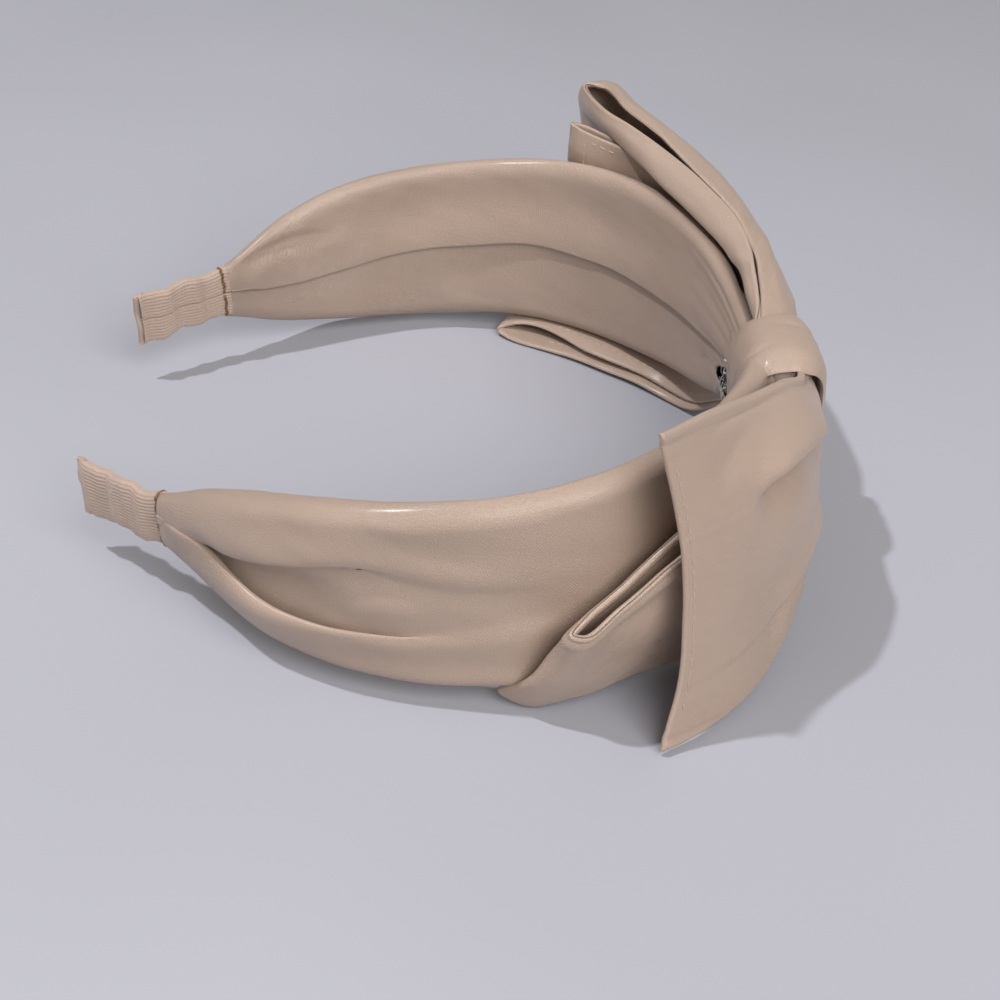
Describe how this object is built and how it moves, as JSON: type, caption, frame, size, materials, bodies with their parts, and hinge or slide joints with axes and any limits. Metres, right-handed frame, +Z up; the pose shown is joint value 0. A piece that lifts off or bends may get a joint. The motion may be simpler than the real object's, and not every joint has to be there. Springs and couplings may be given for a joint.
{
  "type": "knotted headband",
  "caption": "Wide satin hair hoop that narrows to ribbon ends, with a flat tied bow gathered through a wrapped knot at the crown.",
  "frame": {"origin": "middle of the part's box in plan, on the surface it lies on", "axes": "+Z up as it lies on the edges of the bow, about along the width of the band; +X from the tips to the crown; +Y to the left limb"},
  "size_m": [0.1376, 0.154, 0.0592],
  "materials": {
    "satin": "champagne satin with a fine twill and a soft gloss",
    "ribbon": "ribbed grosgrain ribbon",
    "thread": "brown sewing thread",
    "padding": "thin white wadding",
    "core": "black sprung strip"
  },
  "bodies": {
    "crown": {"core_crown": "core", "cover_crown": "satin", "knot_wrap": "satin", "bow_gather": "satin", "knot_stitches": "thread"},
    "left_limb": {"core_left": "core", "pad_left": "padding", "cover_left": "satin", "ribbon_left": "ribbon", "binding_left": "thread", "loop_left": "satin", "tail_left": "satin"},
    "right_limb": {"core_right": "core", "pad_right": "padding", "cover_right": "satin", "ribbon_right": "ribbon", "binding_right": "thread", "loop_right": "satin", "tail_right": "satin"}
  },
  "joints": [
    {"name": "left_limb_flex", "type": "hinge", "parent": "crown", "child": "left_limb", "pos_m": [0.05288, 0.0085, 0.02859], "axis": [0.1167, 0, -0.9932], "range_deg": [-4, 17], "stiffness_Nm_per_rad": 0.6},
    {"name": "right_limb_flex", "type": "hinge", "parent": "crown", "child": "right_limb", "pos_m": [0.05288, -0.0125, 0.02859], "axis": [-0.1167, 0, 0.9932], "range_deg": [-4, 17], "stiffness_Nm_per_rad": 0.6}
  ]
}
